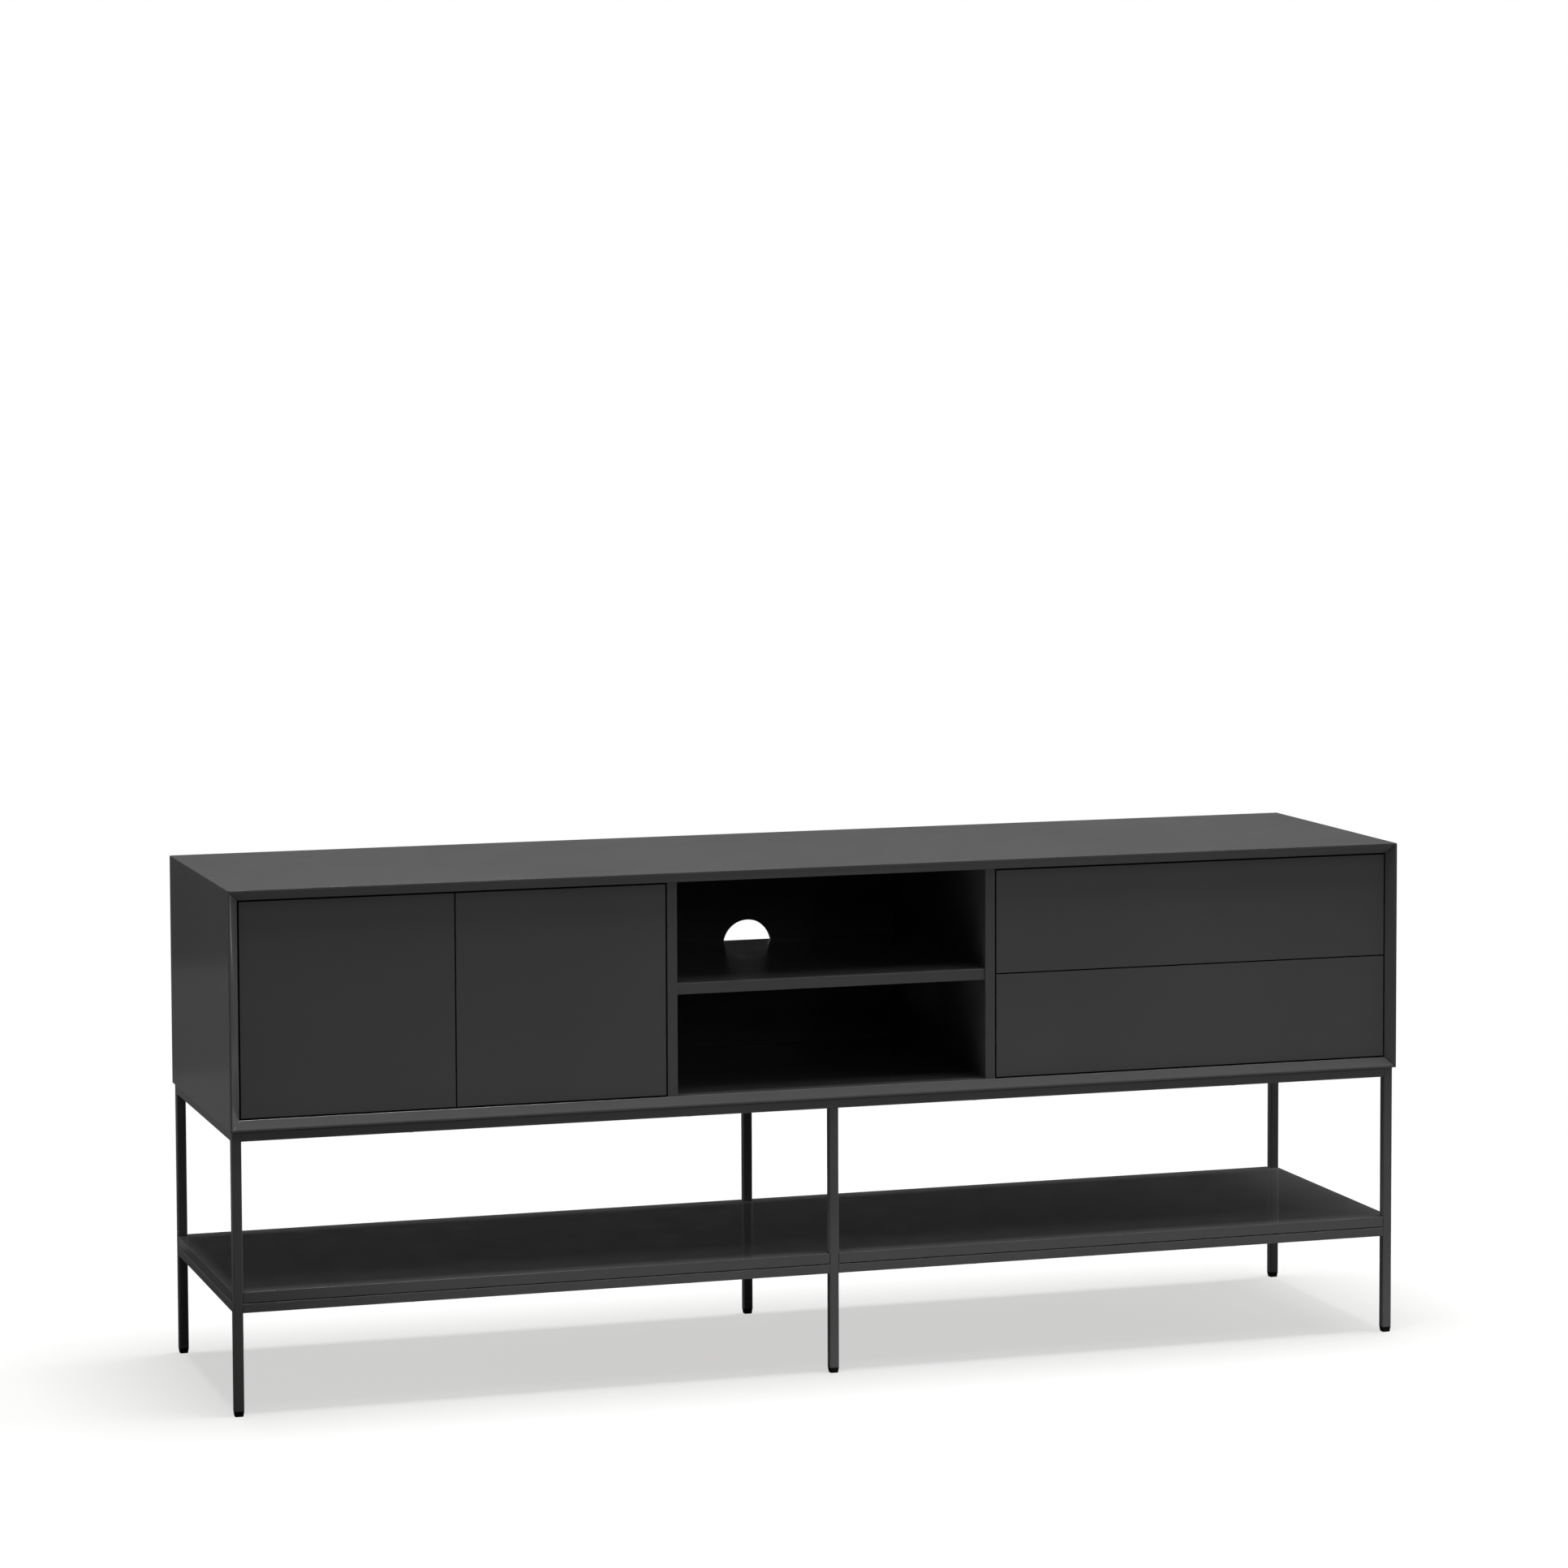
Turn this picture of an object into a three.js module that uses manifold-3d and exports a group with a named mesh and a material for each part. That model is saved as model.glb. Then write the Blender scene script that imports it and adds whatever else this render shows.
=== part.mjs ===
// A long low sideboard: a mitred carcass with two hinged doors, an open centre bay and two drawers,
// carried on an open square-tube frame that holds a second, lower shelf.
// Millimetres. +X is to the right along the front, +Y goes to the back and +Z is up.
// The origin is on the floor, under the middle of the whole piece.
import * as THREE from 'three';
import { mergeVertices } from 'three/addons/utils/BufferGeometryUtils.js';
import Module from 'manifold-3d';

const wasm = await Module();
wasm.setup();

// Whole piece
const WIDTH = 1800;
const DEPTH = 460;
const HEIGHT = 754;
const FRONT = -DEPTH / 2;
const REAR = DEPTH / 2;

// Carcass
const CARCASS_HEIGHT = 344;
const BOARD = 15;
const FRONT_LIP = 3;
const BEVEL_DEPTH = 10;
const MITRE_RELIEF = 0.22;
const CENTRE_BAY = 476;
const SHELF_BOARD = 16;
const SHELF_SETBACK = 2;
const BACK_BOARD = 8;
const BACK_INSET = 12;
const CABLE_HOLE_RADIUS = 39;
const HOLE_SEGMENTS = 32;

// Doors and drawer fronts
const FRONT_BOARD = 16;
const REVEAL = 2.5;
const MEETING_GAP = 2;

// Door hinges
const CUP_RADIUS = 17.2;
const CUP_DEPTH = 11.5;
const CUP_WALL = 1.2;
const CUP_BORE_RADIUS = 17.5;
const CUP_BORE_DEPTH = 12;
const CUP_FLANGE_RADIUS = 20;
const CUP_FLANGE = 1;
const CUP_FROM_EDGE = 22.5;
const HINGE_FROM_END = 70;
const ROUND_SEGMENTS = 40;

// The blocks that make the fixed half of a hinge. Reach is measured from the upright into the
// bay, setback from the back face of the door, and half is half the height.
const NOSE_PAST_CUP = 5;
const NOSE_REACH = REVEAL + CUP_FROM_EDGE + NOSE_PAST_CUP;
const HINGE_PLATE = { reach: [0, 2.5], setback: [22, 62], half: 22 };
const HINGE_ARM = { reach: [2, 12], setback: [6, 68], half: 6.5 };
const HINGE_NOSE = { reach: [6, NOSE_REACH], setback: [2.8, 8], half: 6.5 };
const HINGE_CHANNEL = { reach: [8, 14], setback: [14, 80], half: 4.5 };

// Drawer boxes and their runners
const DRAWER_SIDE = 12;
const DRAWER_BOX_HEIGHT = 105;
const DRAWER_BOX_LENGTH = 390;
const DRAWER_BASE = 6;
const DRAWER_BASE_RISE = 10;
const DRAWER_BOX_RISE = 14;
const RUNNER_SPACE = 12.5;
const RUNNER_HEIGHT = 42;
const RUNNER_LENGTH = 350;
const RUNNER_DEPTH = 11;
const RUNNER_STEEL = 1.4;
const RUNNER_SETBACK = 4;
const SLIDE_HEIGHT = 32;
const SLIDE_THICKNESS = 9.5;
const SLIDE_LENGTH = 344;
const SLIDE_SETBACK = 6;

// Loose shelf inside the door bay
const LOOSE_SHELF_SETBACK = 24;
const LOOSE_SHELF_CLEARANCE = 1;
const LOOSE_SHELF_BACK_GAP = 2;

// Base frame
const TUBE = 14;
const TUBE_WALL = 1.5;
const TUBE_CORNER = 1.5;
const CORNER_STEPS = 3;
const FRAME_INSET_SIDE = 3;
const FRAME_INSET_FRONT = 7;
const FRAME_INSET_REAR = 4;
const PAD = 1;
const LOWER_SHELF_TOP = 179;
const LEG_CLEARANCE = 0.5;
const FOOT_HEIGHT = 8;
const FOOT_TAPER = 1.2;
const FOOT_SHANK = 10.4;
const FOOT_SHANK_LENGTH = 14;
const FOOT_SHANK_ROOT = 1;

// Heights and lines that follow from these
const CARCASS_BOTTOM = HEIGHT - CARCASS_HEIGHT;
const BAY_BOTTOM = CARCASS_BOTTOM + BOARD;
const BAY_TOP = HEIGHT - BOARD;
const BAY_MIDDLE = (BAY_BOTTOM + BAY_TOP) / 2;
const INNER_SIDE = WIDTH / 2 - BOARD;
const DIVIDER_INNER = CENTRE_BAY / 2;
const DIVIDER_OUTER = DIVIDER_INNER + BOARD;
const FACE = FRONT + BEVEL_DEPTH;
const FACE_BACK = FACE + FRONT_BOARD;
const BACK_FACE = REAR - BACK_INSET - BACK_BOARD;
const BAY_CENTRE = (INNER_SIDE + DIVIDER_OUTER) / 2;
const FRAME_TOP = CARCASS_BOTTOM - PAD;
const LEG_X = WIDTH / 2 - FRAME_INSET_SIDE - TUBE / 2;
const LEG_FRONT_Y = FRONT + FRAME_INSET_FRONT + TUBE / 2;
const LEG_REAR_Y = REAR - FRAME_INSET_REAR - TUBE / 2;
const LOWER_RAIL_TOP = LOWER_SHELF_TOP - BOARD - PAD;

const piece = new THREE.Group();

function lacquer() {
  return new THREE.MeshStandardMaterial({ color: 0x3a3a3b, roughness: 0.4, metalness: 0 });
}

function melamine() {
  return new THREE.MeshStandardMaterial({ color: 0x454546, roughness: 0.6, metalness: 0 });
}

function powderCoatedSteel() {
  return new THREE.MeshStandardMaterial({ color: 0x303031, roughness: 0.5, metalness: 0.1 });
}

function zincSteel() {
  return new THREE.MeshStandardMaterial({ color: 0xb4b6b8, roughness: 0.3, metalness: 0.9 });
}

function blackPlastic() {
  return new THREE.MeshStandardMaterial({ color: 0x0e0e0f, roughness: 0.6, metalness: 0 });
}

// A closed geometry as a solid that can be cut or joined.
function solid(geometry) {
  const bare = geometry.clone();
  bare.deleteAttribute('normal');
  bare.deleteAttribute('uv');
  const merged = mergeVertices(bare, 1e-4);
  return new wasm.Manifold(new wasm.Mesh({
    numProp: 3,
    vertProperties: Float32Array.from(merged.attributes.position.array),
    triVerts: Uint32Array.from(merged.index.array),
  }));
}

// A solid back as a geometry with flat shading.
function geometryOf(body) {
  const mesh = body.getMesh();
  const geometry = new THREE.BufferGeometry();
  geometry.setAttribute('position', new THREE.BufferAttribute(mesh.vertProperties, 3));
  geometry.setIndex(new THREE.BufferAttribute(mesh.triVerts, 1));
  geometry.computeVertexNormals();
  return geometry;
}

function add(name, geometry, material, parent = piece) {
  const mesh = new THREE.Mesh(geometry, material);
  mesh.name = name;
  parent.add(mesh);
  return mesh;
}

// A block between two opposite corners.
function block(low, high) {
  const size = high.map((value, axis) => value - low[axis]);
  const middle = high.map((value, axis) => (value + low[axis]) / 2);
  return new THREE.BoxGeometry(...size).translate(...middle);
}

// A closed outline through the given points.
function outline(points) {
  return new THREE.Shape(points.map(([x, y]) => new THREE.Vector2(x, y)));
}

// A straight prism of a shape drawn in XY, rising along +Z.
function prism(shape, length, curveSegments = 1) {
  return new THREE.ExtrudeGeometry(shape, { depth: length, bevelEnabled: false, curveSegments });
}

// A square outline with round corners, centred on the origin.
function roundedSquare(side, corner) {
  const straight = side / 2 - corner;
  const points = [];
  for (let quarter = 0; quarter < 4; quarter += 1) {
    const heading = quarter * Math.PI / 2;
    const middle = new THREE.Vector2(straight, straight).rotateAround(new THREE.Vector2(), heading);
    for (let step = 0; step <= CORNER_STEPS; step += 1) {
      const angle = heading + step / CORNER_STEPS * Math.PI / 2;
      points.push([middle.x + corner * Math.cos(angle), middle.y + corner * Math.sin(angle)]);
    }
  }
  return outline(points);
}

// A prism turned to run along X, with its own X pointing down.
function alongX(geometry) {
  return geometry.rotateY(Math.PI / 2);
}

// A prism turned to run along Y, with its own Y pointing down.
function alongY(geometry) {
  return geometry.rotateX(-Math.PI / 2);
}

// ---- Carcass -------------------------------------------------------------------------------

// One outer board, lying flat with its outer face up at z = 0 and its length along X. The front
// edge is a narrow lip and then a bevel that falls back to the inner face, and both ends are
// mitred at 45 degrees, so that every point gives up as much length as it lies below the face.
function mitredBoard(length) {
  const profile = outline([
    [0, 0],
    [FRONT_LIP, 0],
    [BOARD, BEVEL_DEPTH],
    [BOARD, DEPTH],
    [0, DEPTH],
  ]);
  const geometry = alongX(prism(profile, length)).translate(-length / 2, FRONT, 0);
  const position = geometry.attributes.position;
  for (let i = 0; i < position.count; i += 1) {
    const below = -position.getZ(i);
    const x = position.getX(i);
    position.setX(i, x - Math.sign(x) * (below + MITRE_RELIEF));
  }
  return geometry;
}

function carcassShell() {
  const middle = HEIGHT - CARCASS_HEIGHT / 2;
  const top = add('top_panel', mitredBoard(WIDTH), lacquer());
  top.position.set(0, 0, HEIGHT);
  const bottom = add('bottom_panel', mitredBoard(WIDTH), lacquer());
  bottom.rotation.y = Math.PI;
  bottom.position.set(0, 0, CARCASS_BOTTOM);
  const left = add('left_side_panel', mitredBoard(CARCASS_HEIGHT), lacquer());
  left.rotation.y = -Math.PI / 2;
  left.position.set(-WIDTH / 2, 0, middle);
  const right = add('right_side_panel', mitredBoard(CARCASS_HEIGHT), lacquer());
  right.rotation.y = Math.PI / 2;
  right.position.set(WIDTH / 2, 0, middle);
}

function dividers() {
  for (const [name, side] of [['left_divider', -1], ['right_divider', 1]]) {
    const x = side * (DIVIDER_INNER + BOARD / 2);
    const low = [x - BOARD / 2, FACE, BAY_BOTTOM];
    const high = [x + BOARD / 2, BACK_FACE, BAY_TOP];
    add(name, block(low, high), lacquer());
  }
}

function centreShelf() {
  const low = [-DIVIDER_INNER, FACE + SHELF_SETBACK, BAY_MIDDLE - SHELF_BOARD / 2];
  const high = [DIVIDER_INNER, BACK_FACE, BAY_MIDDLE + SHELF_BOARD / 2];
  add('centre_shelf', block(low, high), lacquer());
}

// The back board, with one round cable hole behind the edge of the centre shelf.
function backPanel() {
  const half = CARCASS_HEIGHT / 2 - BOARD;
  const shape = outline([
    [-INNER_SIDE, -half],
    [INNER_SIDE, -half],
    [INNER_SIDE, half],
    [-INNER_SIDE, half],
  ]);
  const hole = new THREE.Path();
  hole.absarc(0, 0, CABLE_HOLE_RADIUS, 0, 2 * Math.PI, true);
  shape.holes.push(hole);
  const geometry = prism(shape, BACK_BOARD, HOLE_SEGMENTS).rotateX(Math.PI / 2);
  const board = add('back_panel', geometry, lacquer());
  board.position.set(0, BACK_FACE + BACK_BOARD, BAY_MIDDLE);
}

// ---- Doors ---------------------------------------------------------------------------------

const DOOR_LEFT = -INNER_SIDE + REVEAL;
const DOOR_RIGHT = -DIVIDER_OUTER - REVEAL;
const DOOR_BOTTOM = BAY_BOTTOM + REVEAL;
const DOOR_TOP = BAY_TOP - REVEAL;
const HINGE_HEIGHTS = { lower: DOOR_BOTTOM + HINGE_FROM_END, upper: DOOR_TOP - HINGE_FROM_END };

// The two doors meet in the middle of their bay. A side of -1 hangs on the left side panel and
// a side of 1 on the left divider.
function door(name, side) {
  const edge = side < 0 ? DOOR_LEFT : DOOR_RIGHT;
  const meeting = -BAY_CENTRE + side * MEETING_GAP / 2;
  const low = [Math.min(edge, meeting), FACE, DOOR_BOTTOM];
  const high = [Math.max(edge, meeting), FACE_BACK, DOOR_TOP];
  let leaf = solid(block(low, high));
  const cupX = edge - side * CUP_FROM_EDGE;
  for (const [level, z] of Object.entries(HINGE_HEIGHTS)) {
    leaf = leaf.subtract(solid(cupBore().translate(cupX, FACE_BACK, z)));
    hingeCup(`${name}_${level}_hinge_cup`, cupX, z);
    hingeArm(`${name}_${level}_hinge_arm`, side, z);
  }
  add(name, geometryOf(leaf), lacquer());
}

// The round pocket for a cup, centred on the back face of the door, so that half of it cuts.
function cupBore() {
  return new THREE.CylinderGeometry(CUP_BORE_RADIUS, CUP_BORE_RADIUS, 2 * CUP_BORE_DEPTH, ROUND_SEGMENTS);
}

// A pressed steel cup, open to the back, with a thin flange lying on the back of the door.
function hingeCup(name, x, z) {
  const inner = CUP_RADIUS - CUP_WALL;
  const profile = [
    [0, -CUP_DEPTH],
    [CUP_RADIUS, -CUP_DEPTH],
    [CUP_RADIUS, 0],
    [CUP_FLANGE_RADIUS, 0],
    [CUP_FLANGE_RADIUS, CUP_FLANGE],
    [inner, CUP_FLANGE],
    [inner, CUP_WALL - CUP_DEPTH],
    [0, CUP_WALL - CUP_DEPTH],
  ];
  const points = profile.map(([radius, y]) => new THREE.Vector2(radius, y));
  const geometry = new THREE.LatheGeometry(points, ROUND_SEGMENTS);
  add(name, geometry, zincSteel()).position.set(x, FACE_BACK, z);
}

// One block of a hinge's fixed half, at height z, on the upright that the door hangs on.
function hingeBlock({ reach, setback, half }, side, z) {
  const upright = side < 0 ? -INNER_SIDE : -DIVIDER_OUTER;
  const [near, far] = reach.map((value) => upright - side * value);
  return solid(block(
    [Math.min(near, far), FACE_BACK + setback[0], z - half],
    [Math.max(near, far), FACE_BACK + setback[1], z + half],
  ));
}

// The fixed half of a hinge: a plate on the upright, a channel-shaped arm on the plate and a
// nose that reaches across behind the cup. It stays behind the door's back face.
function hingeArm(name, side, z) {
  const blocks = [HINGE_PLATE, HINGE_ARM, HINGE_NOSE, HINGE_CHANNEL];
  const [plate, arm, nose, channel] = blocks.map((part) => hingeBlock(part, side, z));
  add(name, geometryOf(plate.add(arm).add(nose).subtract(channel)), zincSteel());
}

function looseShelf() {
  const low = [
    -INNER_SIDE + LOOSE_SHELF_CLEARANCE,
    FACE_BACK + LOOSE_SHELF_SETBACK,
    BAY_MIDDLE - BOARD / 2,
  ];
  const high = [
    -DIVIDER_OUTER - LOOSE_SHELF_CLEARANCE,
    BACK_FACE - LOOSE_SHELF_BACK_GAP,
    BAY_MIDDLE + BOARD / 2,
  ];
  add('cabinet_shelf', block(low, high), melamine());
}

// ---- Drawers -------------------------------------------------------------------------------

const DRAWER_LEFT = DIVIDER_OUTER + REVEAL;
const DRAWER_RIGHT = INNER_SIDE - REVEAL;
const BOX_LEFT = DIVIDER_OUTER + RUNNER_SPACE;
const BOX_RIGHT = INNER_SIDE - RUNNER_SPACE;
const BOX_BACK = FACE_BACK + DRAWER_BOX_LENGTH;

// One drawer, from the bottom of its front to the top of its front.
function drawer(name, bottom, top) {
  const base = bottom + DRAWER_BOX_RISE;
  const rim = base + DRAWER_BOX_HEIGHT;
  const innerLeft = BOX_LEFT + DRAWER_SIDE;
  const innerRight = BOX_RIGHT - DRAWER_SIDE;
  const innerBack = BOX_BACK - DRAWER_SIDE;
  const floor = base + DRAWER_BASE_RISE;
  add(`${name}_front`, block([DRAWER_LEFT, FACE, bottom], [DRAWER_RIGHT, FACE_BACK, top]), lacquer());
  add(`${name}_left_side`, block([BOX_LEFT, FACE_BACK, base], [innerLeft, BOX_BACK, rim]), melamine());
  add(`${name}_right_side`, block([innerRight, FACE_BACK, base], [BOX_RIGHT, BOX_BACK, rim]), melamine());
  add(`${name}_back`, block([innerLeft, innerBack, base], [innerRight, BOX_BACK, rim]), melamine());
  add(
    `${name}_bottom`,
    block([innerLeft, FACE_BACK, floor], [innerRight, innerBack, floor + DRAWER_BASE]),
    melamine(),
  );
  const runnerZ = base + DRAWER_BOX_HEIGHT / 2;
  for (const [label, side] of [['left', -1], ['right', 1]]) {
    const wall = side < 0 ? DIVIDER_OUTER : INNER_SIDE;
    const box = side < 0 ? BOX_LEFT : BOX_RIGHT;
    runner(`${name}_${label}_runner`, wall, -side, runnerZ);
    slideBar(`${name}_${label}_slide`, box, side, runnerZ);
  }
}

// The fixed runner: a C-shaped steel channel on the wall, open towards the drawer.
function runner(name, wall, inward, z) {
  const half = RUNNER_HEIGHT / 2;
  const wide = RUNNER_DEPTH;
  const profile = outline([
    [0, -half],
    [wide, -half],
    [wide, -half + 2 * RUNNER_STEEL],
    [wide - RUNNER_STEEL, -half + 2 * RUNNER_STEEL],
    [wide - RUNNER_STEEL, -half + RUNNER_STEEL],
    [RUNNER_STEEL, -half + RUNNER_STEEL],
    [RUNNER_STEEL, half - RUNNER_STEEL],
    [wide - RUNNER_STEEL, half - RUNNER_STEEL],
    [wide - RUNNER_STEEL, half - 2 * RUNNER_STEEL],
    [wide, half - 2 * RUNNER_STEEL],
    [wide, half],
    [0, half],
  ].map(([x, y]) => [inward * x, y]));
  const channel = add(name, alongY(prism(profile, RUNNER_LENGTH)), zincSteel());
  channel.position.set(wall, FACE_BACK + RUNNER_SETBACK, z);
}

// The moving slide: a bar screwed to the drawer side, which runs inside the channel.
function slideBar(name, box, outwardSide, z) {
  const start = FACE_BACK + SLIDE_SETBACK;
  const far = box + outwardSide * SLIDE_THICKNESS;
  const low = [Math.min(box, far), start, z - SLIDE_HEIGHT / 2];
  const high = [Math.max(box, far), start + SLIDE_LENGTH, z + SLIDE_HEIGHT / 2];
  add(name, block(low, high), zincSteel());
}

function drawers() {
  drawer('lower_drawer', DOOR_BOTTOM, BAY_MIDDLE - MEETING_GAP / 2);
  drawer('upper_drawer', BAY_MIDDLE + MEETING_GAP / 2, DOOR_TOP);
}

// ---- Base frame ----------------------------------------------------------------------------

// A length of square tube with open ends, rising from z = 0.
function tube(length) {
  const shape = roundedSquare(TUBE, TUBE_CORNER);
  const inner = TUBE / 2 - TUBE_WALL;
  shape.holes.push(new THREE.Path([
    new THREE.Vector2(-inner, -inner),
    new THREE.Vector2(-inner, inner),
    new THREE.Vector2(inner, inner),
    new THREE.Vector2(inner, -inner),
  ]));
  return prism(shape, length);
}

// A plug with a square shank inside the leg and a block below it that narrows to the floor.
function foot() {
  const sole = prism(roundedSquare(TUBE, TUBE_CORNER), FOOT_HEIGHT);
  const position = sole.attributes.position;
  const share = 1 - 2 * FOOT_TAPER / TUBE;
  for (let i = 0; i < position.count; i += 1) {
    if (position.getZ(i) < FOOT_HEIGHT / 2) {
      position.setX(i, position.getX(i) * share);
      position.setY(i, position.getY(i) * share);
    }
  }
  const half = FOOT_SHANK / 2;
  const shank = block(
    [-half, -half, FOOT_HEIGHT - FOOT_SHANK_ROOT],
    [half, half, FOOT_HEIGHT + FOOT_SHANK_LENGTH],
  );
  return geometryOf(solid(sole).add(solid(shank)));
}

function legs() {
  const columns = [['left', -LEG_X], ['middle', 0], ['right', LEG_X]];
  const rows = [['front', LEG_FRONT_Y], ['rear', LEG_REAR_Y]];
  for (const [row, y] of rows) {
    for (const [column, x] of columns) {
      const top = column === 'middle' ? FRAME_TOP - TUBE : FRAME_TOP;
      const leg = add(`${row}_${column}_leg`, tube(top - FOOT_HEIGHT), powderCoatedSteel());
      leg.position.set(x, y, FOOT_HEIGHT);
      add(`${row}_${column}_foot`, foot(), blackPlastic()).position.set(x, y, 0);
    }
  }
}

// A rail along X between two x positions.
function railX(name, from, to, y, top) {
  const rail = add(name, alongX(tube(to - from)), powderCoatedSteel());
  rail.position.set(from, y, top - TUBE / 2);
}

// A rail along Y between the front and rear legs of one end.
function railY(name, x, top) {
  const from = LEG_FRONT_Y + TUBE / 2;
  const to = LEG_REAR_Y - TUBE / 2;
  const rail = add(name, alongY(tube(to - from)), powderCoatedSteel());
  rail.position.set(x, from, top - TUBE / 2);
}

function rails() {
  const end = LEG_X - TUBE / 2;
  const stub = TUBE / 2;
  for (const [row, y] of [['front', LEG_FRONT_Y], ['rear', LEG_REAR_Y]]) {
    railX(`top_${row}_rail`, -end, end, y, FRAME_TOP);
    railX(`lower_${row}_left_rail`, -end, -stub, y, LOWER_RAIL_TOP);
    railX(`lower_${row}_right_rail`, stub, end, y, LOWER_RAIL_TOP);
  }
  for (const [label, x] of [['left', -LEG_X], ['right', LEG_X]]) {
    railY(`top_${label}_rail`, x, FRAME_TOP);
    railY(`lower_${label}_rail`, x, LOWER_RAIL_TOP);
  }
}

// The lower shelf, as wide and deep as the frame and notched round all six legs.
function lowerShelf() {
  const x = LEG_X + TUBE / 2;
  const front = LEG_FRONT_Y - TUBE / 2;
  const rear = LEG_REAR_Y + TUBE / 2;
  const notch = TUBE + LEG_CLEARANCE;
  const middle = TUBE / 2 + LEG_CLEARANCE;
  const shape = outline([
    [-x + notch, front],
    [-middle, front],
    [-middle, front + notch],
    [middle, front + notch],
    [middle, front],
    [x - notch, front],
    [x - notch, front + notch],
    [x, front + notch],
    [x, rear - notch],
    [x - notch, rear - notch],
    [x - notch, rear],
    [middle, rear],
    [middle, rear - notch],
    [-middle, rear - notch],
    [-middle, rear],
    [-x + notch, rear],
    [-x + notch, rear - notch],
    [-x, rear - notch],
    [-x, front + notch],
    [-x + notch, front + notch],
  ]);
  add('lower_shelf', prism(shape, BOARD), lacquer()).position.z = LOWER_SHELF_TOP - BOARD;
}

carcassShell();
dividers();
centreShelf();
backPanel();
door('left_door', -1);
door('right_door', 1);
looseShelf();
drawers();
legs();
rails();
lowerShelf();

export default piece;
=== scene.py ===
import math

import bmesh
import bpy
from mathutils import Matrix, Vector


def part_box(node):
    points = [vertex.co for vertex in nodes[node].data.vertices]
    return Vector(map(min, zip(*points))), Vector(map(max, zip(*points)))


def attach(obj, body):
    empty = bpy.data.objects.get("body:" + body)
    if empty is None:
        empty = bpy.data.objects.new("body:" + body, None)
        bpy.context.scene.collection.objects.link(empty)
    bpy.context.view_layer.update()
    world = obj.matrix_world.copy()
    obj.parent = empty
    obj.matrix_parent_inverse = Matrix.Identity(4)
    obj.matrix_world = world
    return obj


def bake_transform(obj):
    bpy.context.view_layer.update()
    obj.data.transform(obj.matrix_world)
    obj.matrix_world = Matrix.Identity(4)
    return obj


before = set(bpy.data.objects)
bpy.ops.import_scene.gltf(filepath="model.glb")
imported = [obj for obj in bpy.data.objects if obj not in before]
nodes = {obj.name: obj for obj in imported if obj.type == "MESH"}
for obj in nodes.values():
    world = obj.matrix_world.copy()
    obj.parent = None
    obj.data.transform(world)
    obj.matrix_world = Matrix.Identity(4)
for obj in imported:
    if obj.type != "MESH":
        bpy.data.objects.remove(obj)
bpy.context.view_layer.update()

MM = 0.001
SCENE = bpy.context.scene


# ---- Camera ----------------------------------------------------------------------------------

CAMERA_PLACE = (-2.1597, -6.8673, 1.5867)
CAMERA_YAW = 17.425
CAMERA_DOWN = 4.0135
CAMERA_ROLL = 0.219
CAMERA_LENS = 110.0
CAMERA_SHIFT = -0.0963
CAMERA_CLIP = (0.1, 200.0)
SENSOR_WIDTH = 36.0


def make_camera():
    data = bpy.data.cameras.new("camera")
    data.sensor_width = SENSOR_WIDTH
    data.lens = CAMERA_LENS
    data.shift_y = CAMERA_SHIFT
    data.clip_start, data.clip_end = CAMERA_CLIP
    data.dof.use_dof = False
    camera = bpy.data.objects.new("camera", data)
    turn = Matrix.Rotation(math.radians(-CAMERA_YAW), 4, "Z")
    tip = Matrix.Rotation(math.radians(90.0 - CAMERA_DOWN), 4, "X")
    roll = Matrix.Rotation(math.radians(-CAMERA_ROLL), 4, "Z")
    camera.matrix_world = Matrix.Translation(CAMERA_PLACE) @ turn @ tip @ roll
    SCENE.collection.objects.link(camera)
    SCENE.camera = camera


# ---- Materials -------------------------------------------------------------------------------

# Nearly all of a noise's values lie between these.
NOISE_LOW = 0.3
NOISE_HIGH = 0.7


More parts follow.
